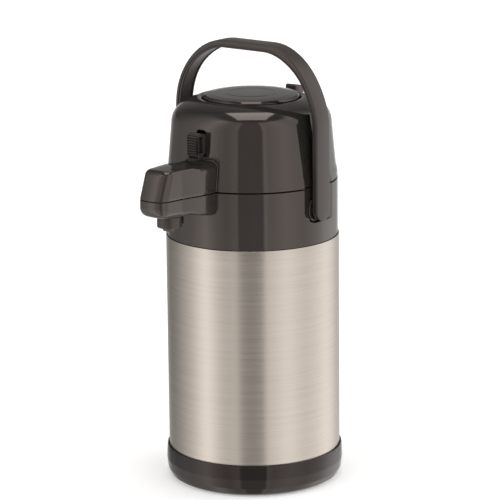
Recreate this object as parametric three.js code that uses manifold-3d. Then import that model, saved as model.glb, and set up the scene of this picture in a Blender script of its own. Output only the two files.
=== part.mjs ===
// Thermal coffee airpot with a push-button pump, a rear-hinged lid and a bail handle.
// Millimetres, +Z up. The origin is the centre of the base's underside, the spout points to -Y,
// the lid's hinge is at +Y, and the handle pivots on the X axis through the collar.
import * as THREE from "three";
import { mergeVertices } from "three/addons/utils/BufferGeometryUtils.js";
import Module from "manifold-3d";

const wasm = await Module();
wasm.setup();

// ---- Driving dimensions -------------------------------------------------------------------
const BODY_R = 78; // steel sleeve, outside
const SLEEVE_WALL = 0.8;
const SLEEVE_TOP = 226;
const BASE_R = 80.5; // widest part of the base cup
const BASE_TOP = 29.5;
const COLLAR_R = 77;
const SEAM_Z = 277.5; // parting line between the collar and the lid
const RIM_Z = 350; // highest ring of the lid, around the button
const BUTTON_R = 43;
const BUTTON_TOP = 354;
const FLASK_R = 70; // glass flask, outside
const GLASS = 2;
const MOUTH_Z = 238; // top of the flask's lip
const HANDLE_TOP = 400;
const HANDLE_WIDTH = 19; // along Y
const HANDLE_R = 80; // outside of the bail's arch and arms
const HANDLE_WALL = 5.6;
const BAR_WALL = 6.9; // flat grip at the top of the bail
const PIVOT_Z = 256;
const RECESS_HALF = 22.5; // half width of the flat pocket that each arm lies in
const RECESS_X = 71.5; // floor of that pocket on the collar
const SPOUT_TIP = 145; // reach of the spout from the axis
const NOZZLE_Y = -117.2;
const PIPE_Z = 269;
const PIPE_R = 3.6;
const HINGE_Y = 80;
const LATCH_PIVOT = { y: -66, z: 322 };
const FIT = 0.3; // gap between pieces that touch

const ROUND = 32; // facets on the large turned pieces
const MIDDLE = 20;
const FLASK = 16; // facets on the flask and what it rests on
const SMALL = 12;

// ---- Solids -------------------------------------------------------------------------------
// A closed geometry as a solid that can be joined and cut. A profile drawn the other way round
// turns its faces inwards, so those are turned back.
function solid(geometry) {
  const bare = geometry.clone();
  bare.deleteAttribute("normal");
  bare.deleteAttribute("uv");
  const merged = mergeVertices(bare, 1e-4);
  const make = (triVerts) =>
    new wasm.Manifold(
      new wasm.Mesh({
        numProp: 3,
        vertProperties: new Float32Array(merged.attributes.position.array),
        triVerts,
      }),
    );
  const triangles = new Uint32Array(merged.index.array);
  const first = make(triangles);
  if (first.volume() > 0) return first;
  return make(triangles.map((_, i) => triangles[i - (i % 3) + (2 - (i % 3))]));
}

const join = (first, ...rest) => rest.reduce((all, one) => all.add(one), first);
const cut = (first, ...rest) => rest.reduce((all, one) => all.subtract(one), first);

// A profile of [radius, height] points turned about Z. It closes on itself, or runs from axis to axis.
function turned(points, facets = ROUND) {
  const profile = points.map(([r, z]) => new THREE.Vector2(r, z));
  const onAxis = points[0][0] === 0 && points.at(-1)[0] === 0;
  if (!onAxis) profile.push(profile[0].clone());
  return solid(new THREE.LatheGeometry(profile, facets).rotateX(Math.PI / 2));
}

// A round ring or disc about Z, moved to x, y.
function ring(inner, outer, low, high, facets = MIDDLE, x = 0, y = 0) {
  const points = inner
    ? [[inner, low], [outer, low], [outer, high], [inner, high]]
    : [[0, low], [outer, low], [outer, high], [0, high]];
  return turned(points, facets).translate([x, y, 0]);
}

// The same ring, lying along X or along Y.
const ringX = (inner, outer, x0, x1, y, z, facets = SMALL) =>
  ring(inner, outer, x0, x1, facets).rotate([0, 90, 0]).translate([0, y, z]);
const ringY = (inner, outer, y0, y1, x, z, facets = SMALL) =>
  ring(inner, outer, -y1, -y0, facets).rotate([90, 0, 0]).translate([x, 0, z]);

function block(x0, x1, y0, y1, z0, z1) {
  const box = new THREE.BoxGeometry(x1 - x0, y1 - y0, z1 - z0);
  return solid(box.translate((x0 + x1) / 2, (y0 + y1) / 2, (z0 + z1) / 2));
}

const outline = (points) => new THREE.Shape(points.map(([a, b]) => new THREE.Vector2(a, b)));
const extruded = (shape, depth, curveSegments) =>
  new THREE.ExtrudeGeometry(shape, { depth, bevelEnabled: false, curveSegments });

// An outline in Y and Z, as thick as x0 to x1.
function plateX(shape, x0, x1, curveSegments = 6) {
  const turn = new THREE.Matrix4().makeBasis(
    new THREE.Vector3(0, 1, 0),
    new THREE.Vector3(0, 0, 1),
    new THREE.Vector3(1, 0, 0),
  );
  return solid(extruded(shape, x1 - x0, curveSegments).applyMatrix4(turn).translate(x0, 0, 0));
}

// An outline in X and Z, as thick as y0 to y1.
function plateY(shape, y0, y1, curveSegments = 6) {
  const turn = new THREE.Matrix4().makeBasis(
    new THREE.Vector3(1, 0, 0),
    new THREE.Vector3(0, 0, 1),
    new THREE.Vector3(0, -1, 0),
  );
  return solid(extruded(shape, y1 - y0, curveSegments).applyMatrix4(turn).translate(0, y1, 0));
}

// An outline in X and Y, as thick as z0 to z1.
const plateZ = (shape, z0, z1, curveSegments = 6) =>
  solid(extruded(shape, z1 - z0, curveSegments).translate(0, 0, z0));

// A round wire or pipe along a curve.
function along(curve, radius, steps, facets, bore = 0) {
  const section = new THREE.Shape().absarc(0, 0, radius, 0, 2 * Math.PI);
  if (bore) section.holes.push(new THREE.Path().absarc(0, 0, bore, 0, 2 * Math.PI, true));
  return solid(
    new THREE.ExtrudeGeometry(section, { steps, extrudePath: curve, curveSegments: facets }),
  );
}

class Helix extends THREE.Curve {
  constructor(radius, low, high, turns) {
    super();
    Object.assign(this, { radius, low, high, turns });
  }
  getPoint(t, target = new THREE.Vector3()) {
    const a = 2 * Math.PI * this.turns * t;
    const z = this.low + (this.high - this.low) * t;
    return target.set(this.radius * Math.cos(a), this.radius * Math.sin(a), z);
  }
}

// ---- Materials ----------------------------------------------------------------------------
const finish = (color, roughness, metalness = 0) => () =>
  new THREE.MeshStandardMaterial({ color, roughness, metalness });
const blackGloss = finish(0x16130f, 0.22);
const blackSatin = finish(0x1a1815, 0.42);
const innerPlastic = finish(0x2a2826, 0.5);
const brushedSteel = finish(0xb9b1a8, 0.34, 1);
const brightSteel = finish(0xc9c9c9, 0.2, 1);
const silverGlass = finish(0xd5dade, 0.08, 0.6);
const silicone = finish(0xd8d6d0, 0.6);
const blackRubber = finish(0x1b1b1b, 0.85);

const airpot = new THREE.Group();
airpot.name = "thermal_airpot";

function piece(name, shape, material, group = airpot) {
  const { numProp, vertProperties, triVerts } = shape.getMesh();
  const position = new Float32Array((vertProperties.length / numProp) * 3);
  for (let i = 0; i < position.length / 3; i++)
    position.set(vertProperties.subarray(i * numProp, i * numProp + 3), i * 3);
  const geometry = new THREE.BufferGeometry();
  geometry.setAttribute("position", new THREE.BufferAttribute(position, 3));
  geometry.setIndex(new THREE.BufferAttribute(triVerts, 1));
  geometry.computeVertexNormals();
  const mesh = new THREE.Mesh(geometry, material());
  mesh.name = name;
  group.add(mesh);
}

// ---- Base and sleeve ----------------------------------------------------------------------
function addBase() {
  const padR = 66;
  const cupFloor = 3;
  const inside = BODY_R + 0.4;
  piece("foot_pad", ring(0, padR, 0, cupFloor, ROUND), blackRubber);
  const cup = turned([
    [0, cupFloor + FIT],
    [padR + FIT, cupFloor + FIT],
    [padR + FIT, 0.8],
    [BASE_R - 5.5, 0.8],
    [BASE_R - 3, 3],
    [BASE_R - 0.9, 8],
    [BASE_R, 16.4],
    [BASE_R - 0.3, 24],
    [BASE_R - 1, BASE_TOP],
    [inside, BASE_TOP],
    [inside, 8],
    [inside - 4, 6],
    [0, 6],
  ]);
  piece("base_cup", cup, blackGloss);
  piece(
    "outer_shell",
    turned([
      [BODY_R - SLEEVE_WALL, 8.5],
      [BODY_R, 8.5],
      [BODY_R, SLEEVE_TOP],
      [BODY_R - SLEEVE_WALL, SLEEVE_TOP],
    ]),
    brushedSteel,
  );
}

// ---- Vacuum flask -------------------------------------------------------------------------
// One wall of the flask: a bottle with a rounded foot, a domed shoulder and a straight neck.
function bottle(outer, neck, low, top, drop) {
  const shell = (r, neckR, z0, shift) => [
    [0, z0],
    [r * 0.55, z0 + 1.5],
    [r * 0.85, z0 + 8],
    [r, z0 + 24],
    [r, 182 - shift],
    [r * 0.86, 204 - shift],
    [r * 0.66, 214 - shift],
    [neckR, 220 - shift],
    [neckR, top],
  ];
  const outside = shell(outer, neck, low, drop);
  const inside = shell(outer - GLASS, neck - GLASS, low + GLASS, drop + GLASS);
  return turned([...outside, ...inside.reverse()], FLASK);
}

function addFlask() {
  const gap = 2.4; // evacuated space between the walls
  piece("flask_outer_wall", bottle(FLASK_R, 38, 15, MOUTH_Z - 5, 0), silverGlass);
  const step = GLASS + gap;
  const inner = bottle(FLASK_R - step, 38 - GLASS - 1, 15 + step, MOUTH_Z, step);
  piece("flask_inner_wall", inner, silverGlass);
  const cushion = turned(
    [
      [30, 6 + FIT],
      [62, 6 + FIT],
      [62, 24],
      [60.9, 23.6],
      [59, 22.3],
      [57.4, 21.6],
      [48, 18.7],
      [38.5, 15.8],
      [30, 15.2],
    ],
    FLASK,
  );
  piece("flask_cushion", cushion, blackRubber);
  piece("neck_ring", ring(38.6, 60, 224.5, 229, FLASK), innerPlastic);
  const lipGasket = turned(
    [
      [33.4, MOUTH_Z + FIT],
      [43.2, MOUTH_Z + FIT],
      [43.2, MOUTH_Z + 4],
      [33.4, MOUTH_Z + 2.6],
    ],
    FLASK,
  );
  piece("neck_gasket", lipGasket, silicone);
}

// ---- Collar -------------------------------------------------------------------------------
const DECK_Z = 275.2; // top of the collar's deck where the lid's gasket seals
const NECK_IN = 44;
const NECK_OUT = 46.6;

// The flat pocket beside each pivot. Its front lower corner is a wide curve. The rear one is
// square, so that the arm can lie level when the handle is folded back.
function pocket(depthFrom, depthTo, half, low, high) {
  const shape = new THREE.Shape();
  shape.moveTo(-half, high);
  shape.lineTo(-half, low + 13);
  shape.quadraticCurveTo(-half + 3.5, low + 3, -6, low);
  shape.lineTo(half - 1, low);
  shape.lineTo(half, low + 1);
  shape.lineTo(half, high);
  return plateX(shape, depthFrom, depthTo, 5);
}

const onBothSides = (shape) => [shape, shape.mirror([1, 0, 0])];

function addCollar() {
  const wall = turned([
    [73.8, 222],
    [BODY_R - SLEEVE_WALL - 0.5, 222],
    [BODY_R - SLEEVE_WALL - 0.5, SLEEVE_TOP + FIT],
    [COLLAR_R, SLEEVE_TOP + FIT],
    [COLLAR_R, SEAM_Z - 0.6],
    [74.2, SEAM_Z - 0.6],
    [74.2, DECK_Z],
    [NECK_IN, DECK_Z - 0.4],
    [NECK_IN, 243],
    [NECK_OUT, 243],
    [NECK_OUT, DECK_Z - 2.8],
    [73.8, DECK_Z - 2.6],
  ]);
  const low = 245.6;
  const back = pocket(RECESS_X - 2.8, 72.4, RECESS_HALF + 2.5, low - 2.5, SEAM_Z - 0.6);
  const hollow = pocket(RECESS_X, 90, RECESS_HALF, low, SEAM_Z + 5);
  const boss = ringX(0, 12, RECESS_X - 1, RECESS_X + 1.3, 0, PIVOT_Z, MIDDLE);
  const pin = ringX(0, 3.4, 60, 90, 0, PIVOT_Z);
  const ear = plateX(
    outline([
      [74, 264],
      [84, 273],
      [84.5, 277.5],
      [82.5, 281.2],
      [77.4, 281.2],
      [76.4, 276.9],
      [74, 276.9],
    ]),
    10.3,
    16,
  );
  let collar = join(wall, ...onBothSides(back));
  collar = cut(collar, ...onBothSides(hollow));
  collar = join(collar, ...onBothSides(boss), ear, ear.translate([-26.3, 0, 0]));
  collar = cut(
    collar,
    ...onBothSides(pin),
    ringX(0, 6, -10, 10, HINGE_Y, SEAM_Z), // room for the lid's knuckle
    ringX(0, 2.3, -20, 20, HINGE_Y, SEAM_Z),
    ringY(0, 5, -90, -36, 0, PIPE_Z), // way through for the pipe
  );
  piece("collar", collar, blackGloss);
  piece("hinge_pin", ringX(0, 2, -15.5, 15.5, HINGE_Y, SEAM_Z), brightSteel);
  // The catch stands on the deck and reaches up into the lid, with its nose towards the spout.
  const nose = outline([
    [-66, DECK_Z + FIT],
    [-56, DECK_Z + FIT],
    [-56, DECK_Z + 1.5],
    [-58.5, DECK_Z + 2],
    [-58.5, 288],
    [-62, 288],
    [-65, 285.5],
    [-65, 284.6],
    [-61.5, 284.6],
    [-61.5, DECK_Z + 1.5],
    [-66, DECK_Z + 1.5],
  ]);
  piece("latch_catch", plateX(nose, -4.5, 4.5), brightSteel);
}

// ---- Spout, pipe and nozzle ---------------------------------------------------------------
const SPOUT_RISE = 2.3; // the spout's parting line climbs this much from the root to the tip

// The spout's side outline, drawn in by an even margin for its hollow.
function spoutSide(margin) {
  const s = new THREE.Shape();
  const tip = -SPOUT_TIP + margin;
  const floor = 262.8 + margin;
  const roof = 305 - margin;
  s.moveTo(-70, 257 + margin);
  s.lineTo(-79, 257.6 + margin);
  s.lineTo(-105, floor);
  s.lineTo(tip + 12, floor);
  s.bezierCurveTo(tip + 5, floor, tip + 0.6, floor + 6, tip, floor + 14);
  s.lineTo(tip + 0.2, SEAM_Z + 5);
  s.lineTo(tip + 7, roof - 3.5);
  s.quadraticCurveTo(tip + 8.5, roof, tip + 13, roof);
  s.lineTo(-92, roof + 0.4);
  s.lineTo(-70, roof + 0.4);
  return s;
}

// Its outline from above: a narrow nose that widens to the root.
function spoutTop(margin) {
  const s = new THREE.Shape();
  const tip = -SPOUT_TIP + margin;
  const nose = 14 - margin;
  const root = 18.9 - margin;
  s.moveTo(root, -60);
  s.lineTo(root, -84);
  s.quadraticCurveTo(root - 0.8, -95, nose + 1.2, -118);
  s.lineTo(nose - 0.3, tip + 6);
  s.quadraticCurveTo(nose - 0.6, tip, nose - 6.6, tip);
  s.lineTo(-nose + 6.6, tip);
  s.quadraticCurveTo(-nose + 0.6, tip, -nose + 0.3, tip + 6);
  s.lineTo(-nose - 1.2, -118);
  s.quadraticCurveTo(-root + 0.8, -95, -root, -84);
  s.lineTo(-root, -60);
  return s;
}

const spoutBlock = (margin) =>
  plateX(spoutSide(margin), -30, 30, 4).intersect(plateZ(spoutTop(margin), 240, 320, 3));

function addSpout() {
  const shell = cut(spoutBlock(0), spoutBlock(2.2));
  const body = ring(0, COLLAR_R + 0.4, 240, 330, ROUND);
  // Everything from the parting line, moved by shift, down or up to the height end.
  const partFrom = (shift, end) =>
    plateX(
      outline([
        [-60, SEAM_Z + shift],
        [-77, SEAM_Z + shift],
        [-SPOUT_TIP - 1, SEAM_Z + shift + SPOUT_RISE],
        [-SPOUT_TIP - 1, end],
        [-60, end],
      ]),
      -40,
      40,
    );
  const low = partFrom(-0.6, 240);
  const high = partFrom(0.6, 330);
  const outlet = ring(0, 7.2, 240, 270, SMALL, 0, NOZZLE_Y);
  piece("spout_lower", cut(shell.intersect(low), body, outlet), blackGloss);
  piece("spout_cover", cut(shell.intersect(high), body), blackGloss);
  piece("nozzle_collar", ring(6.2, 11.4, 252.6, 262.4, MIDDLE, 0, NOZZLE_Y), blackSatin);

  // The pipe runs level from the stem head and turns down into the nozzle.
  const bend = 9;
  const v = (y, z) => new THREE.Vector3(0, y, z);
  const elbow = new THREE.QuadraticBezierCurve3(
    v(NOZZLE_Y + bend, PIPE_Z),
    v(NOZZLE_Y, PIPE_Z),
    v(NOZZLE_Y, PIPE_Z - bend),
  );
  const route = (radius, from, outletRadius, outletLow, outletTop) =>
    join(
      ringY(0, radius, NOZZLE_Y + bend - 0.4, from, 0, PIPE_Z),
      along(elbow, radius, 4, 5),
      ring(0, radius, PIPE_Z - bend - 2, PIPE_Z - bend + 0.4, SMALL, 0, NOZZLE_Y),
      ring(0, outletRadius, outletLow, outletTop, SMALL, 0, NOZZLE_Y),
    );
  const flow = route(PIPE_R, -4.5, 5.8, 249.6, PIPE_Z - bend);
  const bore = route(PIPE_R - 1.1, -4, 4.4, 249, PIPE_Z - bend - 1.4);
  piece("spout_pipe", cut(flow, bore), innerPlastic);
  piece("pipe_grommet", ringY(3.9, 4.7, -47.4, -43.2, 0, PIPE_Z), silicone);

  const head = cut(
    ring(0, 8.5, 258, 274.2, SMALL),
    ring(0, 4.4, 250, 265, SMALL),
    ring(0, 3, 264, PIPE_Z, SMALL),
    ringY(0, PIPE_R + 0.3, -12, -4.2, 0, PIPE_Z),
    ringY(0, 2.8, -6, 0, 0, PIPE_Z),
  );
  piece("stem_head", head, innerPlastic);
  piece("dip_tube", ring(3, 4, 28, 264.6, SMALL), innerPlastic);
}

// ---- Lid ----------------------------------------------------------------------------------
// Outside and inside of the lid's wall, from the seam up to the button's opening.
const LID_OUTSIDE = [
  [COLLAR_R - 0.1, SEAM_Z + 0.6],
  [76.6, 284],
  [75.2, 290],
  [73.7, 306],
  [71.7, 328],
  [71, 333],
  [70, 336.7],
  [66, 341.6],
  [60, 345.5],
  [48.5, RIM_Z],
  [45.4, RIM_Z - 0.2],
  [44.4, RIM_Z - 1.2],
];
const LID_INSIDE = [
  [44.4, RIM_Z - 5.6],
  [50, RIM_Z - 5.8],
  [58.6, 342.8],
  [64.2, 339.2],
  [67.6, 334.8],
  [68.5, 332],
  [69.2, 328],
  [71.2, 306],
  [72.7, 290],
  [74.1, 284],
  [74.2, SEAM_Z + 0.6],
];

// Floor of the pocket beside each arm: it leans in as the lid narrows.
function lidPocket(near, far, half, margin) {
  const lean = outline([
    [near - margin, SEAM_Z - 5],
    [near - margin, SEAM_Z],
    [near - 4.4 - margin, 331],
    [near - 6.9 - margin, 356],
    [far, 356],
    [far, SEAM_Z - 5],
  ]);
  return plateY(lean, -half, half);
}

const SCREW_R = 64;
const BASE_PLATE = { low: SEAM_Z + 0.6, high: SEAM_Z + 3.4 };

// Runs a maker of pieces at each of the four screws.
function eachScrew(make) {
  for (let i = 0; i < 4; i++) {
    const a = Math.PI / 4 + (i * Math.PI) / 2;
    make(SCREW_R * Math.cos(a), SCREW_R * Math.sin(a), i + 1);
  }
}

function addLidShell() {
  const low = SEAM_Z + 0.6;
  const ceiling = BASE_PLATE.high + FIT;
  const wall = turned([...LID_OUTSIDE, ...LID_INSIDE]);
  const envelope = turned([[0, low], ...LID_OUTSIDE, [0, RIM_Z - 1.2]]);
  const hollow = lidPocket(RECESS_X, 90, RECESS_HALF, 0);
  const lining = cut(
    lidPocket(RECESS_X, 90, RECESS_HALF + 2.5, 2.8).intersect(envelope),
    hollow,
  );
  let shell = join(cut(wall, ...onBothSides(hollow)), ...onBothSides(lining));
  eachScrew((x, y) => {
    const post = ring(0, 3.6, ceiling, RIM_Z, SMALL, x, y).intersect(envelope);
    shell = cut(join(shell, post), ring(0, 1.8, 270, 290, 12, x, y));
  });
  const cheek = plateX(
    outline([
      [-71, 315],
      [-62, 318],
      [-62, 326],
      [-69.6, 327],
    ]),
    10.2,
    12.4,
  );
  const knuckle = join(
    ringX(0, 4.4, -9.4, 9.4, HINGE_Y, SEAM_Z),
    block(-9.4, 9.4, 74.8, 80, SEAM_Z + 0.8, SEAM_Z + 4.3),
  );
  const earRoom = ringX(0, 5.1, 9.8, 16.6, HINGE_Y, SEAM_Z);
  const latchSlot = outline([
    [-6.7, 308.5],
    [6.7, 308.5],
    [6.7, 329],
    [4.4, 333.4],
    [0, 335],
    [-4.4, 333.4],
    [-6.7, 329],
  ]);
  shell = cut(
    join(shell, ...onBothSides(cheek), knuckle),
    ...onBothSides(earRoom),
    ringX(0, 2.3, -30, 30, HINGE_Y, SEAM_Z),
    ringX(0, 2.1, -14, 14, LATCH_PIVOT.y, LATCH_PIVOT.z, 12),
    plateY(latchSlot, -90, -60),
    block(-3.5, 3.5, 52.4, 62.4, 330, 355), // slot under the lock slider
  );
  piece("lid_shell", shell, blackGloss);
}

function addLidInside() {
  const { low, high } = BASE_PLATE;
  const sideRoom = block(RECESS_X - 3.4, 90, -25.6, 25.6, 270, 290);
  let plate = cut(
    ring(6, 73.6, low, high, ROUND),
    ...onBothSides(sideRoom),
    block(-7, 7, -80, -55, 270, 290), // way through for the latch and its catch
  );
  eachScrew((x, y, number) => {
    plate = cut(plate, ring(0, 1.8, 270, 290, 12, x, y));
    const screw = join(
      ring(0, 3, low - 1.9, low - FIT, 12, x, y),
      ring(0, 1.4, low - 1, 289, 12, x, y),
    );
    piece(`lid_screw_${number}`, screw, brightSteel);
  });
  piece("lid_base_plate", plate, innerPlastic);
  piece("lid_gasket", ring(46, 52, DECK_Z + FIT, low - FIT, ROUND), silicone);
  const guide = cut(
    ring(47.2, 49.2, high + FIT, 343.8, ROUND),
    block(-4.8, 4.8, 40, 55, 334.8, 340.6), // slot for the lock's tongue
  );
  piece("button_guide", guide, innerPlastic);
  piece("latch_pin", ringX(0, 1.9, -12.8, 12.8, LATCH_PIVOT.y, LATCH_PIVOT.z, 12), brightSteel);
  const coil = along(new Helix(2.3, 5.9, 9.6, 3), 0.3, 30, 3);
  const spring = coil.rotate([0, 90, 0]).translate([0, LATCH_PIVOT.y, LATCH_PIVOT.z]);
  piece("latch_spring", spring, brightSteel);
}

// ---- Pump ---------------------------------------------------------------------------------
const PLATE_Z = { low: 328.6, high: 331.6 }; // disc that the button pushes on the bellows

function addPump() {
  const foot = BASE_PLATE.high + FIT;
  const top = PLATE_Z.low - FIT;
  const folds = 4;
  const wall = 1.2;
  const pitch = (top - foot - 4) / folds;
  const outside = [];
  for (let i = 0; i < folds; i++) {
    outside.push([31, foot + 2 + i * pitch], [38, foot + 2 + (i + 0.5) * pitch]);
  }
  outside.push([31, top - 2]);
  const inside = outside.map(([r, z]) => [r - wall, z]).reverse();
  const bellows = turned(
    [[38, foot], [38, foot + 1.2], ...outside, [31, top], [29.8, top], ...inside, [29.8, foot]],
    MIDDLE,
  );
  piece("bellows", bellows, blackRubber);
  const spring = along(new Helix(16, foot + 1.2, top - 1.4, 4), 0.9, 44, 3);
  piece("bellows_spring", spring, brightSteel);
  piece("button_plate", ring(3, 34, PLATE_Z.low, PLATE_Z.high, MIDDLE), innerPlastic);
  piece("valve_seal", ring(0, 8, PLATE_Z.low - 3, PLATE_Z.low - FIT, SMALL), silicone);
  const button = turned([
    [0, BUTTON_TOP],
    [20, BUTTON_TOP - 0.2],
    [34, BUTTON_TOP - 0.8],
    [40, BUTTON_TOP - 1.8],
    [42.3, BUTTON_TOP - 2.8],
    [BUTTON_R, BUTTON_TOP - 4.2],
    [BUTTON_R, 343.6],
    [46.3, 343.6],
    [46.3, 340.8],
    [41, 340.8],
    [41, 347.5],
    [38.5, 349.5],
    [7, 350.6],
    [7, PLATE_Z.high + FIT],
    [0, PLATE_Z.high + FIT],
  ]);
  piece("push_button", button, blackGloss);
}

// ---- Latch and lock -----------------------------------------------------------------------
function addLatch() {
  const side = outline([
    [-84.6, 309.4],
    [-84.3, 328.5],
    [-82.8, 330.6],
    [-80, 331.2],
    [-77, 330.4],
    [-75, 328.8],
    [-64, 327.5],
    [-62.5, 322],
    [-64.5, 314],
    [-65.3, 300],
    [-65.3, 284],
    [-62, 284],
    [-62, 282.6],
    [-64, 281],
    [-68.4, 281],
    [-68.4, 309.8],
    [-75, 309.8],
    [-75.4, 306.8],
    [-82.5, 306.8],
  ]);
  const pin = ringX(0, 2.1, -10, 10, LATCH_PIVOT.y, LATCH_PIVOT.z, 12);
  piece("latch_lever", cut(plateX(side, -5.25, 5.25), pin), blackSatin);
}

function addLock() {
  const lug = outline([
    [54, 348.3],
    [60, 346.1],
    [66, 343.4],
    [70.5, 341],
    [70.9, 348.9],
    [69.5, 350.2],
    [56, 352],
    [54.2, 351.4],
  ]);
  const tongue = block(-4, 4, 47.6, 61.5, 335.5, 338.5);
  const neck = block(-3, 3, 57, 62, 336, 347.5);
  piece("lock_slider", join(plateX(lug, -6, 6), neck, tongue), blackSatin);
}

// ---- Handle -------------------------------------------------------------------------------
function addHandle() {
  const inner = HANDLE_R - HANDLE_WALL;
  const under = HANDLE_TOP - BAR_WALL;
  const springing = 330.7; // height where the straight arms turn into the arch
  const crease = 21.5; // half length of the flat grip
  const end = 240;
  const bail = new THREE.Shape();
  bail.moveTo(HANDLE_R, end);
  bail.lineTo(HANDLE_R, springing);
  bail.bezierCurveTo(HANDLE_R, 366.5, 53.7, HANDLE_TOP, crease, HANDLE_TOP);
  bail.lineTo(-crease, HANDLE_TOP);
  bail.bezierCurveTo(-53.7, HANDLE_TOP, -HANDLE_R, 366.5, -HANDLE_R, springing);
  bail.lineTo(-HANDLE_R, end);
  bail.lineTo(-inner, end);
  bail.lineTo(-inner, springing);
  bail.bezierCurveTo(-inner, 364.8, -49, under, 1.5 - crease, under);
  bail.lineTo(crease - 1.5, under);
  bail.bezierCurveTo(49, under, inner, 364.8, inner, springing);
  bail.lineTo(inner, end);
  const half = HANDLE_WIDTH / 2;
  const edge = new THREE.Shape();
  edge.moveTo(half, PIVOT_Z);
  edge.lineTo(half, HANDLE_TOP + 5);
  edge.lineTo(-half, HANDLE_TOP + 5);
  edge.lineTo(-half, PIVOT_Z);
  edge.absarc(0, PIVOT_Z, half, Math.PI, 2 * Math.PI, false);
  const blank = plateY(bail, -half, half, 8).intersect(plateX(edge, -90, 90, 5));
  const socket = ringX(0, 3.3, 70, 78, 0, PIVOT_Z);
  piece("carry_handle", cut(blank, ...onBothSides(socket)), blackSatin);
  for (const [side, sign] of [["right", 1], ["left", -1]]) {
    const place = (shape) => (sign > 0 ? shape : shape.mirror([1, 0, 0]));
    piece(`pivot_pin_${side}`, place(ringX(0, 3, 66.6, 77.7, 0, PIVOT_Z)), brightSteel);
    piece(`pivot_clip_${side}`, place(ringX(3.3, 6.4, 67.2, 68.4, 0, PIVOT_Z)), brightSteel);
    piece(`pivot_washer_${side}`, place(ringX(3.4, 8, 73.1, 74.1, 0, PIVOT_Z)), innerPlastic);
  }
}

addBase();
addFlask();
addCollar();
addSpout();
addLidShell();
addLidInside();
addPump();
addLatch();
addLock();
addHandle();

export default airpot;
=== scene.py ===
import math

import bmesh
import bpy
import numpy as np
from mathutils import Matrix, Vector
from mathutils.bvhtree import BVHTree


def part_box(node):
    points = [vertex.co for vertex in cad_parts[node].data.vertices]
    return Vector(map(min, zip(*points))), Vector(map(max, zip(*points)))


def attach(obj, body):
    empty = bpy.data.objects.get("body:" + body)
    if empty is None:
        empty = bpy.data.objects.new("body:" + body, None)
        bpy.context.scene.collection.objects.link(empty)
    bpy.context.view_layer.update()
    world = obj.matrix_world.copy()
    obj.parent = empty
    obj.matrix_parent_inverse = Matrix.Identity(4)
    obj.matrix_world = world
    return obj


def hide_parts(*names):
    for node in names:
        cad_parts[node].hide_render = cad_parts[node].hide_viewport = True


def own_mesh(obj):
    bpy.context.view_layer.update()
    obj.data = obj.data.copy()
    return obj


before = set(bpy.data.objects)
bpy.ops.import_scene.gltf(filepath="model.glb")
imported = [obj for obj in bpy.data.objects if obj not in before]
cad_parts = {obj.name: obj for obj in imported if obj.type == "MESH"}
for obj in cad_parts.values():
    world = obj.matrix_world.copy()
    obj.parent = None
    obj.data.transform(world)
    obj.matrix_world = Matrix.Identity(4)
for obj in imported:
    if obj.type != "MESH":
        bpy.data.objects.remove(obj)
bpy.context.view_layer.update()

# ---- Driving sizes, in millimetres
# Shapes are drawn in millimetres and turned into metres when they become pieces.
MM = 0.001


def span(node):
    """Lowest and highest corner of a CAD node, in millimetres."""
    low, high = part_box(node)
    return low / MM, high / MM


# Heights of the joint between lid and collar, the collar's deck, the lid's rim and the button.
SEAM_Z = 277.5
DECK_Z = 275.2
RIM_Z = 350
BUTTON_TOP = 354
# Handle: its pivots, the outside of its arms, where its arch starts and where its top is level.
PIVOT_Z = 256
ARM_OUT = 80
HANDLE_HALF = 9.5
HANDLE_TOP = 400
ARCH_Z = 330.7
CREASE_X = 21.5
# Pockets beside the arms: their edges, the place of their floor and the thickness of the skin
# behind it. Behind the arm the floor steps up to a shelf.
POCKET_FRONT = 20.8
POCKET_REAR = 22.5
POCKET_LOW = 245.6
POCKET_X = 71.5
POCKET_SKIN = 2.8
POCKET_STEP = 0.9
SHELF_X = 74.1
SHELF_START = 9.8
SHELF_RISE = 3.2
# Axes of the hinge and the latch, the pipe's height, and the middle of the nozzle.
HINGE_Y = 80
LATCH_Y, LATCH_Z = -66, 322
PIPE_Z = 269
NOZZLE_Y = -117.2
# Thumb scoop in the spout's cover: its middle, and its reach along and across the spout.
SCOOP_Y, SCOOP_LONG, SCOOP_WIDE = -80, 30, 21
# Edges sharper than this many degrees stay crisp on most pieces.
CREASE = 38
# A face with more corners than this is a flat end.
FLAT_END_SIDES = 8


# ---- Outlines and solids
def unit(v):
    return v / np.linalg.norm(v)


def smoothstep(t):
    t = np.clip(t, 0, 1)
    return t * t * (3 - 2 * t)


def curve(a, b, c, d, steps=24):
    """A cubic Bezier curve from a to d."""
    a, b, c, d = (np.array(p, float) for p in (a, b, c, d))
    points = []
    for t in np.linspace(0, 1, steps + 1):
        u = 1 - t
        points.append(u**3 * a + 3 * u * u * t * b + 3 * u * t * t * c + t**3 * d)
    return points


def fillet(corners, closed=True, steps=6):
    """The outline through (x, y) or (x, y, radius) corners, each radius drawn as an arc."""
    points = []
    last = len(corners) - 1
    for i, corner in enumerate(corners):
        here = np.array(corner[:2], float)
        if len(corner) < 3 or (not closed and i in (0, last)):
            points.append(here)
            continue
        back = np.array(corners[i - 1][:2], float) - here
        ahead = np.array(corners[(i + 1) % len(corners)][:2], float) - here
        room = 0.49 * min(np.linalg.norm(back), np.linalg.norm(ahead))
        back, ahead = unit(back), unit(ahead)
        half = math.acos(np.clip(back @ ahead, -1, 1)) / 2
        reach = min(corner[2] / math.tan(half), room)
        for t in np.linspace(0, 1, steps + 1):
            points.append(here + back * reach * (1 - t) ** 2 + ahead * reach * t**2)
    return points


def rect(x0, x1, y0, y1, *radii):
    """Corners of a rectangle, anticlockwise from (x0, y0). A radius of 0 is a sharp corner."""
    corners = ((x0, y0), (x1, y0), (x1, y1), (x0, y1))
    return [(*c, r) if r else c for c, r in zip(corners, radii or (0, 0, 0, 0))]


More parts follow.
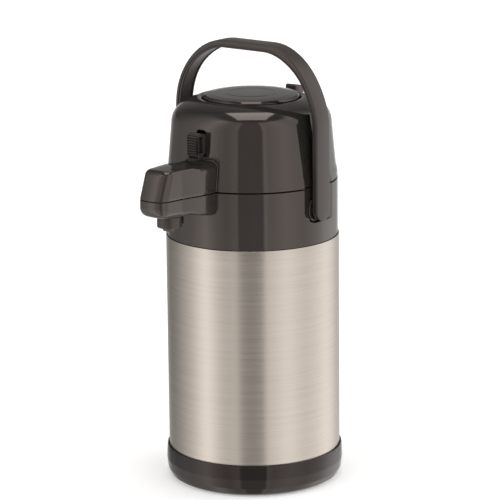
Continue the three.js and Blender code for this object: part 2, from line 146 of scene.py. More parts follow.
def divide(points, longest, low=-math.inf, high=math.inf):
    """The closed outline with its edges between heights low and high cut to at most longest."""
    out = []
    for here, after in zip(points, points[1:] + points[:1]):
        middle = (here[1] + after[1]) / 2
        inside = low < middle < high
        parts = max(1, math.ceil(np.linalg.norm(after - here) / longest)) if inside else 1
        out += [here + (after - here) * k / parts for k in range(parts)]
    return out


def grid_faces(rings, closed_rows, closed_columns):
    """Quads between rings of vertex numbers. Corners that share a vertex become triangles."""
    faces = []
    rows = len(rings) if closed_rows else len(rings) - 1
    for i in range(rows):
        a, b = rings[i], rings[(i + 1) % len(rings)]
        columns = len(a) if closed_columns else len(a) - 1
        for j in range(columns):
            k = (j + 1) % len(a)
            quad = list(dict.fromkeys((a[j], a[k], b[k], b[j])))
            if len(quad) > 2:
                faces.append(quad)
    return faces


def lathe(outline, segments=128, closed=True):
    """Turns an outline of (radius, height) about Z. A point on the axis is one vertex."""
    verts, rings = [], []
    turn = np.arange(segments) * 2 * math.pi / segments
    for r, z in outline:
        first = len(verts)
        if r < 1e-6:
            verts.append((0, 0, z))
            rings.append([first] * segments)
            continue
        verts += [(r * math.cos(a), r * math.sin(a), z) for a in turn]
        rings.append(list(range(first, first + segments)))
    return np.array(verts, float), grid_faces(rings, closed, True)


def hoop(r0, r1, low, high, radii, segments=128):
    """A turned ring of rectangular section, with the radii of its four edges."""
    return lathe(fillet(rect(r0, r1, low, high, *radii)), segments)


def rod(radius, low, high, segments, *edges):
    """A round bar along Z, with the radii of its lower and upper edges, or sharp ones."""
    corners = rect(0, radius, low, high, 0, *(edges or (0, 0)), 0)
    return lathe(fillet(corners, closed=False), segments, closed=False)


def loft(sections, closed=False):
    """Joins closed sections of the same number of points. An open row of them gets flat ends."""
    count = len(sections[0])
    verts = np.array([p for section in sections for p in section], float)
    rings = [list(range(i * count, (i + 1) * count)) for i in range(len(sections))]
    faces = grid_faces(rings, closed, True)
    if not closed:
        faces += [rings[0][::-1], rings[-1]]
    return verts, faces


def inset(outline, amount):
    """A closed outline, drawn anticlockwise, moved inwards."""
    p = np.array(outline, float)
    before, after = p - np.roll(p, 1, 0), np.roll(p, -1, 0) - p
    before /= np.linalg.norm(before, axis=1)[:, None]
    after /= np.linalg.norm(after, axis=1)[:, None]
    normal = np.stack([-(before + after)[:, 1], (before + after)[:, 0]], 1)
    normal /= np.linalg.norm(normal, axis=1)[:, None]
    lean = np.abs(-before[:, 1] * normal[:, 0] + before[:, 0] * normal[:, 1])
    return p + normal * (amount / np.maximum(lean, 0.5))[:, None]


def slab(outline, low, high, edge=0.4, steps=4):
    """A plate from low to high along Z, with rounded edges."""
    p = np.array(outline, float)
    x, y = p[:, 0], p[:, 1]
    if np.sum(x * np.roll(y, -1) - np.roll(x, -1) * y) < 0:
        p = p[::-1]
    sections = []
    for side, start in ((-1, low + edge), (1, high - edge)):
        angles = np.linspace(math.pi / 2, 0, steps + 1)
        for a in angles if side < 0 else angles[::-1]:
            ring = inset(p, edge * (1 - math.cos(a)))
            z = start + side * edge * math.sin(a)
            sections.append([(px, py, z) for px, py in ring])
    return loft(sections)


def tube(path, radius, sides):
    """A round bar along a path of points."""
    path = np.array(path, float)
    tangents = np.gradient(path, axis=0)
    normal = np.cross(tangents[0], (0.3, 0.5, 0.8))
    sections = []
    for here, tangent in zip(path, tangents):
        tangent = unit(tangent)
        normal = unit(normal - tangent * (normal @ tangent))
        side = np.cross(tangent, normal)
        turn = np.arange(sides) * 2 * math.pi / sides
        radial = np.outer(np.cos(turn), normal) + np.outer(np.sin(turn), side)
        sections.append(here + radius * radial)
    return loft(sections)


def helix(radius, low, high, turns, steps=28):
    a = np.linspace(0, turns * 2 * math.pi, int(turns * steps))
    z = np.linspace(low, high, len(a))
    return np.stack([radius * np.cos(a), radius * np.sin(a), z], 1)


def moved(solid, x=0, y=0, z=0):
    return solid[0] + np.array([x, y, z]), solid[1]


def along_x(solid):
    """Turns a solid so that its Z runs along X, its X along Y and its Y along Z."""
    return solid[0][:, [2, 0, 1]], solid[1]


def along_y(solid):
    """Turns a solid so that its Z runs along Y, its X along Z and its Y along X."""
    return solid[0][:, [1, 2, 0]], solid[1]


def mirrored(solid):
    """The solid reflected in X."""
    return solid[0] * np.array([-1, 1, 1]), [f[::-1] for f in solid[1]]


def together(*solids):
    """Several solids as one."""
    verts, faces, first = [], [], 0
    for v, f in solids:
        verts.append(v)
        faces += [[i + first for i in face] for face in f]
        first += len(v)
    return np.concatenate(verts), faces


def cutter(outline, low, high):
    """A plate that only cuts, so its edges are sharp."""
    return slab(outline, low, high, 0.01, 1)


def both_sides(solid):
    """The solid and its reflection."""
    return together(solid, mirrored(solid))


# ---- Pieces
def new_mesh(name, solid):
    """The solid as a mesh in metres, with its normals outwards."""
    mesh = bpy.data.meshes.new(name)
    verts, faces = solid
    mesh.from_pydata((verts * MM).tolist(), [], faces)
    work = bmesh.new()
    work.from_mesh(mesh)
    bmesh.ops.dissolve_degenerate(work, dist=1e-7, edges=work.edges)
    bmesh.ops.recalc_face_normals(work, faces=work.faces)
    work.to_mesh(mesh)
    work.free()
    mesh.update()
    return mesh


def new_object(name, solid):
    obj = bpy.data.objects.new(name, new_mesh(name, solid))
    bpy.context.scene.collection.objects.link(obj)
    return obj


def smooth(mesh, angle):
    """Smooth shading, with edges sharper than angle kept crisp and flat ends kept flat."""
    mesh.shade_smooth()
    for face in mesh.polygons:
        face.use_smooth = len(face.vertices) <= FLAT_END_SIDES
    mesh.set_sharp_from_angle(angle=math.radians(angle))


def piece(name, body, solid, finish, stands_for=(), angle=CREASE, cutters=()):
    """A piece of the object, made of solid with the cutters taken out. It moves with body,
    has the finish of a Shader, and stands for CAD nodes."""
    obj = new_object(name, solid)
    smooth(obj.data, angle)
    if cutters:
        carve(obj, cutters, angle)
    obj.data.materials.clear()
    obj.data.materials.append(finish.material)
    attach(obj, body)
    if stands_for:
        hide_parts(*stands_for)
    return obj


def carve(obj, cutters, angle):
    """Cuts the solids out of obj, and keeps the smooth shading of the faces that stay."""
    source = obj.data.copy()
    tools = [new_object("cutter", solid) for solid in cutters]
    for tool in tools:
        cut = obj.modifiers.new("cut", "BOOLEAN")
        cut.operation = "DIFFERENCE"
        cut.solver = "EXACT"
        cut.object = tool
    graph = bpy.context.evaluated_depsgraph_get()
    result = bpy.data.meshes.new_from_object(obj.evaluated_get(graph))
    obj.modifiers.clear()
    obj.data = result
    for tool in tools:
        bpy.data.objects.remove(tool)
    result.shade_smooth()
    result.set_sharp_from_angle(angle=math.radians(angle))
    keep_normals(result, source)


def keep_normals(mesh, source):
    """Gives each corner of mesh the normal that the surface of source has there, where the two
    touch and face nearly the same way."""
    touching, same_way, tiny = 2e-5, 0.9, 1e-6
    tree = BVHTree.FromPolygons(
        [v.co for v in source.vertices], [list(p.vertices) for p in source.polygons]
    )
    wanted = [None] * len(mesh.loops)
    given = [n.vector.copy() for n in mesh.corner_normals]
    source_normals = [n.vector.copy() for n in source.corner_normals]
    for face in mesh.polygons:
        for i in face.loop_indices:
            wanted[i] = given[i]
            point = mesh.vertices[mesh.loops[i].vertex_index].co
            near, _, index, gap = tree.find_nearest(point)
            if near is None or gap > touching:
                continue
            polygon = source.polygons[index]
            if polygon.normal.dot(face.normal) < same_way:
                continue
            total = Vector()
            for k in polygon.loop_indices:
                corner = source.vertices[source.loops[k].vertex_index].co
                total += source_normals[k] / ((corner - point).length + tiny)
            wanted[i] = total.normalized()
    mesh.normals_split_custom_set(wanted)


# ---- Materials
class Shader:
    """A material, built a node at a time, with the record's material slot that it is for."""

    def __init__(self, name, slot=None):
        self.slot = slot or name
        self.material = bpy.data.materials.new(name)
        self.material.use_nodes = True
        self.tree = self.material.node_tree
        self.surface = self.tree.nodes["Principled BSDF"]
        self.place = self.node("ShaderNodeTexCoord").outputs["Object"]

    def node(self, kind, **settings):
        made = self.tree.nodes.new(kind)
        for key, value in settings.items():
            setattr(made, key, value)
        return made

    def link(self, a, b):
        self.tree.links.new(a, b)

    def noise(self, scale, stretch=(1, 1, 1), detail=3.0, roughness=0.55):
        """Noise of scale features per metre, stretched along the axes."""
        mapping = self.node("ShaderNodeMapping")
        mapping.inputs["Scale"].default_value = stretch
        self.link(self.place, mapping.inputs["Vector"])
        made = self.node("ShaderNodeTexNoise")
        made.inputs["Scale"].default_value = scale
        made.inputs["Detail"].default_value = detail
        made.inputs["Roughness"].default_value = roughness
        self.link(mapping.outputs["Vector"], made.inputs["Vector"])
        return made.outputs["Fac"]

    def spread(self, value, low, high, start=0.3, end=0.7):
        """The value between start and end turned into low to high."""
        made = self.node("ShaderNodeMapRange")
        made.inputs["From Min"].default_value = start
        made.inputs["From Max"].default_value = end
        made.inputs["To Min"].default_value = low
        made.inputs["To Max"].default_value = high
        self.link(value, made.inputs["Value"])
        return made.outputs["Result"]

    def add(self, a, b):
        """The sum of two values."""
        made = self.node("ShaderNodeMath", operation="ADD")
        self.link(a, made.inputs[0])
        self.link(b, made.inputs[1])
        return made.outputs[0]

    def colour(self, value, dark, light, start=0.3, end=0.7):
        """Base colour from dark to light as the value goes from start to end."""
        made = self.node("ShaderNodeValToRGB")
        low, high = made.color_ramp.elements
        low.position, low.color = start, (*dark, 1)
        high.position, high.color = end, (*light, 1)
        self.link(value, made.inputs["Fac"])
        self.link(made.outputs["Color"], self.surface.inputs["Base Color"])

    def bump(self, value, height, strength=1.0):
        """Relief of that height in millimetres."""
        made = self.node("ShaderNodeBump")
        made.inputs["Strength"].default_value = strength
        made.inputs["Distance"].default_value = height * MM
        self.link(value, made.inputs["Height"])
        self.link(made.outputs["Normal"], self.surface.inputs["Normal"])

    def set(self, **values):
        """Plain values of the surface's sockets."""
        for key, value in values.items():
            self.surface.inputs[key.replace("_", " ")].default_value = value

    def rough(self, value):
        self.link(value, self.surface.inputs["Roughness"])


# Tint of the sheen on both black plastics.
WARM = (1, 0.86, 0.79, 1)
GLOSS_IOR = 1.58


def gloss_black(name, ior, painted_shade_factor):
    """Glossy moulded ABS: faint orange peel, hazier patches and hairline wear. The third
    argument multiplies its colour; below 1 that darkening is painted shade."""
    s = Shader(name, "gloss_black")
    s.set(IOR=ior, Specular_IOR_Level=0.5, Specular_Tint=WARM)
    cloud = s.noise(14, detail=4)
    dark, light = np.array([0.0205, 0.0172, 0.0155]), np.array([0.0245, 0.0208, 0.019])
    # Colour scaled by the shade factor: below 1 this paints in shade.
    s.colour(cloud, dark * painted_shade_factor, light * painted_shade_factor)
    hairline = s.noise(420, (1, 1, 0.07), detail=5, roughness=0.7)
    s.rough(s.add(s.spread(cloud, 0.05, 0.085), s.spread(hairline, 0, 0.05, 0.5, 0.8)))
    s.bump(s.noise(260, detail=2), 0.012, 0.35)
    return s


def cover_black():
    """The same plastic, with a matt spark-eroded texture in the thumb scoop."""
    s = gloss_black("gloss_black_cover", GLOSS_IOR, 1)
    glossy, matt, top_z = 0.5, 0.16, 300
    across = s.node("ShaderNodeMapping")
    across.inputs["Location"].default_value = (0, -SCOOP_Y / SCOOP_LONG, 0)
    across.inputs["Scale"].default_value = (1 / SCOOP_WIDE / MM, 1 / SCOOP_LONG / MM, 0)
    s.link(s.place, across.inputs["Vector"])
    reach = s.node("ShaderNodeVectorMath", operation="LENGTH")
    s.link(across.outputs["Vector"], reach.inputs[0])
    inside = s.spread(reach.outputs["Value"], 1, 0, 0.97, 1)
    height = s.node("ShaderNodeSeparateXYZ")
    s.link(s.place, height.inputs["Vector"])
    top = s.spread(height.outputs["Z"], 0, 1, (top_z - 0.8) * MM, top_z * MM)
    patch = s.node("ShaderNodeMath", operation="MULTIPLY")
    s.link(inside, patch.inputs[0])
    s.link(top, patch.inputs[1])
    level = s.spread(patch.outputs[0], glossy, matt, 0, 1)
    s.link(level, s.surface.inputs["Specular IOR Level"])
    return s


def satin_black():
    """Moulded polypropylene with a fine spark-eroded grain."""
    s = Shader("satin_black")
    s.set(IOR=1.5, Specular_IOR_Level=0.5, Specular_Tint=WARM)
    cloud = s.noise(22, detail=4)
    s.colour(cloud, (0.026, 0.0222, 0.0205), (0.033, 0.0285, 0.0265))
    grain = s.noise(2600, detail=2)
    s.rough(s.add(s.spread(cloud, 0.3, 0.36), s.spread(grain, 0, 0.05)))
    s.bump(grain, 0.02, 0.5)
    return s


def brushed_steel():
    """Stainless sheet brushed round the sleeve."""
    s = Shader("brushed_sleeve")
    s.set(Metallic=1.0, Anisotropic=0.45, Anisotropic_Rotation=0.25)
    tangent = s.node("ShaderNodeTangent", direction_type="RADIAL", axis="Z")
    s.link(tangent.outputs["Tangent"], s.surface.inputs["Tangent"])
    fine = s.noise(900, (0.03, 0.03, 3.2), detail=4, roughness=0.75)
    broad = s.noise(240, (0.02, 0.02, 1.6), detail=3)
    both = s.add(s.spread(fine, 0, 0.62), s.spread(broad, 0, 0.38))
    s.colour(both, (0.43, 0.387, 0.345), (0.484, 0.437, 0.392), 0.2, 0.8)
    s.rough(s.spread(both, 0.25, 0.34, 0.1, 0.9))
    s.bump(fine, 0.01, 0.28)
    return s


def even_finish(name, noise, dark, light, rough, relief, **values):
    """A material whose colour, roughness and relief all follow one noise."""
    s = Shader(name)
    s.set(**values)
    marks = s.noise(**noise)
    s.colour(marks, dark, light)
    s.rough(s.spread(marks, *rough))
    s.bump(marks, *relief)
    return s


def bright_steel():
    """Turned and plated pins, springs and screws."""
    noise = dict(scale=1500, stretch=(1, 1, 0.15), detail=4)
    dark, light = (0.6, 0.59, 0.57), (0.72, 0.71, 0.69)
    return even_finish("bright_steel", noise, dark, light, (0.16, 0.3), (0.006, 0.3), Metallic=1)


def silvered_glass():
    """The flask: glass with a mirror coat that has slight ripples."""
    coat = dict(Metallic=1, Coat_Weight=0.6, Coat_Roughness=0.03)
    noise = dict(scale=30, stretch=(1, 1, 0.4), detail=3)
    dark, light = (0.82, 0.83, 0.84), (0.9, 0.9, 0.9)
    return even_finish("silvered_glass", noise, dark, light, (0.04, 0.11), (0.25, 0.2), **coat)


def black_rubber():
    """Matt synthetic rubber, a little bloomed."""
    gloss = dict(IOR=1.45, Specular_IOR_Level=0.4)
    noise = dict(scale=1200, detail=4, roughness=0.7)
    dark, light = (0.016, 0.0155, 0.015), (0.032, 0.031, 0.03)
    return even_finish("black_rubber", noise, dark, light, (0.55, 0.78), (0.05, 0.5), **gloss)


def silicone():
    """Translucent white food seal with a trace of dust."""
    body = dict(IOR=1.41, Subsurface_Weight=0.25, Subsurface_Scale=0.002)
    noise = dict(scale=700, detail=4, roughness=0.7)
    dark, light = (0.6, 0.595, 0.57), (0.72, 0.715, 0.69)
    return even_finish("silicone", noise, dark, light, (0.38, 0.55), (0.02, 0.3), **body)


def inner_plastic():
    """Natural polypropylene of the pump and lining."""
    s = Shader("inner_plastic")
    s.set(IOR=1.49, Specular_IOR_Level=0.45)
    cloud = s.noise(60, detail=4)
    s.colour(cloud, (0.05, 0.048, 0.046), (0.065, 0.062, 0.06))
    flow = s.noise(600, (1, 1, 0.3), detail=3)
    s.rough(s.spread(flow, 0.3, 0.42))
    s.bump(flow, 0.015, 0.35)
    return s


GLOSS = gloss_black("gloss_black", GLOSS_IOR, 1)
# Painted shade: the cup's colour is darkened to about a third, standing in for the dim light low
# down by the table.
CUP_PAINTED_SHADE = gloss_black("gloss_black_cup_painted_shade", 1.46, 0.35)
COVER = cover_black()
SATIN = satin_black()
SLEEVE = brushed_steel()
STEEL = bright_steel()
GLASS = silvered_glass()
RUBBER = black_rubber()
SEAL = silicone()
LINING = inner_plastic()


# ---- Base and sleeve
def add_base():
    pad = together(hoop(58, 66, 0, 3, (0.6, 0.6, 0.3, 0.3)), rod(58.2, 0.4, 2.6, 128))
    piece("base_foot_pad", "pot", pad, RUBBER, ["foot_pad"])
    outside = [
        (66.3, 0.8, 0.2), (75, 0.8, 1.2), (77.6, 2.9, 2), (79.7, 8, 3), (80.5, 16.4, 5),
        (80.2, 24, 5), (79.6, 29.5, 0.8),
    ]
    inside = [(78.4, 29.3, 0.4), (78.4, 8, 1), (66.3, 3.3, 0.3)]
    cup = divide(fillet(outside + inside), 2.5)
    # The cup's finish has painted shade darkening its colour.
    piece("base_moulded_cup", "pot", lathe(cup, 192), CUP_PAINTED_SHADE, ["base_cup"])


def add_sleeve():
    low, high = (corner[2] for corner in span("outer_shell"))
    wall = [(77.2, low), (78, low), (78, high, 0.5), (77.2, high, 0.25)]
    sheet = divide(fillet(wall), 12)
    piece("steel_sleeve", "pot", lathe(sheet, 192), SLEEVE, ["outer_shell"])


# ---- Flask
def bottle(radius, neck, low, shoulder, top):
    """A round-shouldered bottle with a rounded lip."""
    wall = 2

    def side(offset):
        return [
            (0, low + offset), ((radius - offset) * 0.55, low + 1.5 + offset, 20),
            ((radius - offset) * 0.85, low + 8 + offset, 16),
            (radius - offset, low + 24 + offset, 14),
            (radius - offset, shoulder - 38 - offset, 14),
            ((radius - offset) * 0.86, shoulder - 16 - offset, 10),
            ((radius - offset) * 0.66, shoulder - 6 - offset, 8),
            (neck - offset, shoulder - offset, 2), (neck - offset, top, wall * 0.45),
        ]

    outline = fillet(side(0) + side(wall)[::-1], closed=False)
    return lathe(outline, 96, closed=False)


def add_flask():
    shoulder = 220
    outer_r = span("flask_outer_wall")[1][0]
    for side, neck in (("outer", 38), ("inner", 35)):
        low, high = span(f"flask_{side}_wall")
        step = outer_r - high[0]
        glass = bottle(high[0], neck, low[2], shoulder - step, high[2])
        piece(f"flask_{side}_bottle", "pot", glass, GLASS, [f"flask_{side}_wall"])


# ---- Wall with a pocket beside each arm
def pocket_floor(front, y):
    """Place of a pocket's floor. Behind the arm it is only as deep as the folding arm needs."""
    rise = smoothstep((y - SHELF_START) / SHELF_RISE)
    return front + (max(SHELF_X, front) - front) * rise


def arm_pocket(x, y, floor, inside, margin):
    """Moves a wall point in towards the pocket's floor. inside is how far the point lies
    within the pocket's outline, and the step between them is a rounded one."""
    depth = np.maximum(abs(x) - pocket_floor(floor, y) + margin, 0)
    blend = smoothstep((inside + margin) / POCKET_STEP)
    return math.copysign(abs(x) - depth * blend, x)


def pocketed_wall(outline, margins, floor, inside, pocket_rows):
    """A turned wall with the two pockets pressed into it. pocket_rows are the places across
    a pocket, from its front to its rear, that a ring of the wall has a point at."""
    arc_points = 54
    sections = []
    widest = max(abs(pocket_rows[0]), abs(pocket_rows[-1]))
    for (r, z), margin in zip(outline, margins):
        start = math.asin(widest / r)
        arc = np.linspace(start, math.pi - start, arc_points)[1:-1]
        ring = [(math.sqrt(r * r - y * y), y) for y in pocket_rows]
        ring += [(r * math.cos(a), r * math.sin(a)) for a in arc]
        ring += [(-math.sqrt(r * r - y * y), y) for y in pocket_rows[::-1]]
        ring += [(r * math.cos(a), r * math.sin(a)) for a in arc + math.pi]
        pressed = [arm_pocket(x, y, floor(z), inside(y, z), margin) for x, y in ring]
        sections.append([(x, y, z) for x, (_, y) in zip(pressed, ring)])
    return loft(sections, closed=True)


def collar_inside(y, z):
    """Distance into the collar's pocket. Its front lower corner is a wide curve."""
    curve_from, curve_height = 6, 13
    side = min(POCKET_REAR - y, y + POCKET_FRONT)
    if y > -curve_from or z > POCKET_LOW + curve_height:
        return min(side, z - POCKET_LOW)
    across = np.clip((-curve_from - y) / (POCKET_FRONT - curve_from), 0, 1)
    edge = POCKET_LOW + curve_height * (1 - math.sqrt(max(0, 1 - across**2.1)))
    slant = math.hypot(1, 2 * across)
    return min(side, (z - edge) / slant)


def lid_inside(y, z):
    """Distance into the lid's pocket, which widens upwards at the front."""
    front = np.interp(z, [299, 316, 331], [POCKET_FRONT - 0.3, 21.7, 22.8])
    return min(POCKET_REAR - y, y + front)


def pocket_places(curve_from):
    """Places across a pocket, close together where its edges are."""
    fine = 0.3
    front = np.arange(-24, curve_from, fine)
    behind_arm = np.linspace(curve_from, 9.4, 9)
    step = np.arange(SHELF_START, 13.3, 0.5)
    shelf = np.linspace(13.8, 19.8, 5)
    rear = np.arange(20.2, 24.1, fine)
    return list(np.concatenate([front, behind_arm, step, shelf, rear]))


def add_collar():
    top = SEAM_Z - 0.6
    outer = [(76.7, 222, 0.4), (76.7, 226.3), (77, 226.3, 0.4), (77, top, 0.45)]
    rim = [(74.2, top, 0.4), (74.2, DECK_Z, 0.5)]
    neck = [(44, DECK_Z - 0.4, 1), (44, 243, 0.6), (46.6, 243, 0.6)]
    under = [(46.6, DECK_Z - 2.8, 0.6), (73.8, DECK_Z - 2.6, 0.8), (73.8, 222, 0.3)]
    outline = fillet(outer + rim + neck + under)
    outline = divide(outline, 0.45, POCKET_LOW - 1.4, POCKET_LOW + 14)
    outline = divide(outline, 4)
    margins = [0 if r > 76.2 and z > 226 else POCKET_SKIN for r, z in outline]
    places = pocket_places(-4)
    wall = pocketed_wall(outline, margins, lambda z: POCKET_X, collar_inside, places)
    pipe_way = along_y(rod(5, 36, 90, 48))
    pipe_way = (pipe_way[0] * np.array([1, -1, 1]), pipe_way[1])
    pin_way = along_x(rod(3.4, 60, 90, 32))
    knuckle_room = along_x(rod(6, -10, 10, 48))
    cutters = [
        moved(pipe_way, z=PIPE_Z),
        moved(pin_way, z=PIVOT_Z),
        moved(mirrored(pin_way), z=PIVOT_Z),
        moved(knuckle_room, y=HINGE_Y, z=SEAM_Z),
    ]
    piece("collar_moulding", "pot", wall, GLOSS, ["collar"], 50, cutters)
    boss = along_x(hoop(3.4, 12, -1, 1.3, (0, 0, 0.8, 0.3), 64))
    boss = moved(boss, x=POCKET_X, z=PIVOT_Z)
    piece("collar_pivot_bosses", "pot", both_sides(boss), GLOSS)
    ear = fillet(
        [
            (75.5, 265.5), (84, 273, 2), (84.5, 277.5, 3), (82.5, 281.2, 2.4),
            (77.4, 281.2, 0.8), (76.4, 276.5, 0.8), (75.5, 276.5),
        ]
    )
    ears = both_sides(along_x(slab(ear, 10.3, 16, 0.5)))
    piece("collar_hinge_ears", "pot", ears, GLOSS)
    pin = moved(along_x(rod(2, -15.5, 15.5, 48, 0.4, 0.4)), y=HINGE_Y, z=SEAM_Z)
    piece("lid_hinge_pin", "pot", pin, STEEL, ["hinge_pin"])


# ---- Lid
LID_WALL = [
    (76.9, SEAM_Z + 0.6, 0.4), (76.6, 284, 6), (75.2, 290, 8), (73.7, 306, 8), (71.85, 327),
]
LID_SHOULDER = curve((71.8, 327.6), (71.3, 338.6), (64.6, 345.2), (49.4, 349.7))
LID_RIM = [
    (48.3, RIM_Z, 1.2), (45.4, RIM_Z - 0.2, 0.5), (44.4, RIM_Z - 1.2, 0.5),
]
LID_INSIDE = [
    (44.4, RIM_Z - 5.6, 0.4), (50, RIM_Z - 5.8, 2), (58.6, 342.8, 4), (64.2, 339.2, 4),
    (67.6, 334.8, 4), (69.2, 328, 4), (71.2, 306, 8), (72.7, 290, 8), (74.1, 284, 4),
    (74.2, SEAM_Z + 0.6, 0.4),
]


def lid_floor(z):
    """Place of the lid's pocket floor at a height: it leans in as the lid narrows."""
    return np.interp(z, [SEAM_Z, 331, 356], [POCKET_X, POCKET_X - 4.4, POCKET_X - 6.9])


def add_lid():
    outline = divide(fillet(LID_WALL + LID_SHOULDER + LID_RIM + LID_INSIDE), 2.2)
    skin_z = [278, 284, 306, 328, 335, 345, 350]
    skin_r = [76, 75.4, 72.6, 70.6, 68.8, 60, 44]
    margins = [0 if r >= np.interp(z, skin_z, skin_r) else POCKET_SKIN for r, z in outline]
    wall = pocketed_wall(outline, margins, lid_floor, lid_inside, pocket_places(-17))
    half, low, high = 5.8, 308.5, 330.9
    slot = fillet([(low, -half, 0.8), (low, half, 0.8), (high, half, 4.2), (high, -half, 4.2)])
    latch_slot = along_y(cutter(slot, -90, -58))
    lock_slot = cutter(rect(-3.5, 3.5, 52.4, 62.4), 330, 356)
    ear_room = along_x(rod(5.1, 9.8, 16.6, 48))
    ear_room = moved(both_sides(ear_room), y=HINGE_Y, z=SEAM_Z)
    cutters = [latch_slot, lock_slot, ear_room]
    piece("lid_moulding", "lid", wall, GLOSS, ["lid_shell"], 50, cutters)
    knuckle = along_x(hoop(2.3, 4.4, -9.4, 9.4, (0, 0.4, 0.4, 0), 48))
    knuckle = moved(knuckle, y=HINGE_Y, z=SEAM_Z)
    web = moved(slab(rect(-9.2, 9.2, 74.8, 79), 0.9, 4.2, 0.3), z=SEAM_Z)
    piece("lid_hinge_knuckle", "lid", together(knuckle, web), GLOSS)
    cheek = fillet([(-71, 315), (-62, 318, 1), (-62, 326, 1), (-69.6, 327)])
    cheeks = both_sides(along_x(slab(cheek, 10.2, 12.4, 0.2)))
    piece("latch_cheeks", "lid", cheeks, GLOSS)


def add_lid_inside():
    low, high = SEAM_Z + 0.6, SEAM_Z + 3.4
    plate = hoop(6, 73.4, low, high, (0.4, 0.5, 0.3, 0.3), 160)
    side = cutter(rect(68.1, 90, -25.6, 25.6), 270, 290)
    front = cutter(rect(-7, 7, -80, -55), 270, 290)
    rings = [ring_rib(r, low) for r in (20, 56)]
    cutters = [side, mirrored(side), front]
    piece("lid_inner_plate", "lid", plate, LINING, ["lid_base_plate"], 40, cutters)
    piece("lid_inner_ribs", "lid", together(*rings), LINING)
    seal = hoop(46, 52, 275.5, low - 0.3, (0.8, 0.8, 0.4, 0.4))
    piece("lid_seal_ring", "lid", seal, SEAL, ["lid_gasket"])
    screw_circle = 64
    for number in range(4):
        angle = math.pi / 4 + number * math.pi / 2
        x, y = screw_circle * math.cos(angle), screw_circle * math.sin(angle)
        head = fillet([(0, low - 1.9), (3, low - 1.5, 0.5), (3, low - 0.3)], closed=False)
        shank = [(1.3, low - 0.3), (1.3, 289), (0, 289)]
        screw = moved(lathe(head + shank, 40, closed=False), x, y)
        cross = (rect(-2, 2, -0.35, 0.35), rect(-0.35, 0.35, -2, 2))
        slots = [moved(cutter(bar, low - 3, low - 1.1), x, y) for bar in cross]
        node = f"lid_screw_{number + 1}"
        piece(f"{node}_cross", "lid", screw, STEEL, [node], CREASE, slots)
    guide = hoop(47.2, 49.2, high + 0.3, 343.8, (0.3, 0.3, 0.4, 0.4))
    notch = cutter(rect(-4.8, 4.8, 40, 55), 334.8, 340.6)
    piece("button_sleeve", "lid", guide, LINING, ["button_guide"], 40, [notch])
    pin = moved(along_x(rod(1.9, -12.8, 12.8, 40, 0.4, 0.4)), y=LATCH_Y, z=LATCH_Z)
    piece("latch_pivot_pin", "lid", pin, STEEL, ["latch_pin"])
    coil = along_x(tube(helix(2.3, 5.9, 9.6, 3), 0.3, 8))
    piece("latch_coil", "lid", moved(coil, y=LATCH_Y, z=LATCH_Z), STEEL, ["latch_spring"])


def ring_rib(radius, top):
    """A moulded stiffening ring under a plate."""
    return hoop(radius - 0.8, radius + 0.8, top - 1.4, top + 0.5, (0.5, 0.5, 0, 0))


# ---- Pump
PLATE_LOW, PLATE_HIGH = 328.6, 331.6


def add_pump():
    foot, top = SEAM_Z + 3.7, PLATE_LOW - 0.3
    folds = 4
    pitch = (top - foot - 4) / folds
    outside = [(38, foot), (38, foot + 1.2, 0.3)]
    for i in range(folds):
        outside.append((31, foot + 2 + i * pitch, 1.6))
        outside.append((38, foot + 2 + (i + 0.5) * pitch, 1.4))
    outside += [(31, top - 2, 1), (31, top)]
    inside = [(r - 1.2, *rest) for r, *rest in outside][::-1]
    inside[0] = (29.8, top)
    pleats = lathe(fillet(outside + inside), 96)
    bellows = piece("pump_bellows", "lid", pleats, RUBBER, ["bellows"])
    coil = tube(helix(16, foot + 1.2, top - 1.4, 4), 0.9, 10)
    spring = piece("pump_spring", "lid", coil, STEEL, ["bellows_spring"])
    for soft in (bellows, spring):
        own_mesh(soft)
    plate = hoop(3, 34, PLATE_LOW, PLATE_HIGH, (0.4, 0.8, 0.8, 0.4), 96)
    piece("pump_push_plate", "button", plate, LINING, ["button_plate"])
    seal = rod(8, 325.6, 328.3, 64, 1, 0.4)
    piece("pump_valve_seal", "button", seal, SEAL, ["valve_seal"])


def add_button():
    top = BUTTON_TOP
    outside = [
        (0, top), (20, top - 0.2, 10), (34, top - 0.8, 10), (41.2, top - 1.7, 1.2),
        (43, top - 3.4, 0.8), (43, 343.6, 0.3), (46.3, 343.6, 0.4), (46.3, 340.8, 0.4),
        (41, 340.8, 0.4), (41, 347.5, 1), (38.5, 349.5, 1), (7, 350.6, 1),
        (7, PLATE_HIGH + 0.3, 0.3), (0, PLATE_HIGH + 0.3),
    ]
    cap = lathe(divide(fillet(outside, closed=False), 3)[:-1], 160, closed=False)
    piece("pump_button", "button", cap, GLOSS, ["push_button"])
    grips = [grip_ring(r, top - 0.1) for r in (12, 17, 22)]
    piece("pump_button_grip", "button", together(*grips), GLOSS)


def grip_ring(radius, top):
    """A low raised ring on the button."""
    return hoop(radius - 0.7, radius + 0.7, top - 1.1, top, (0, 0, 0.3, 0.3))


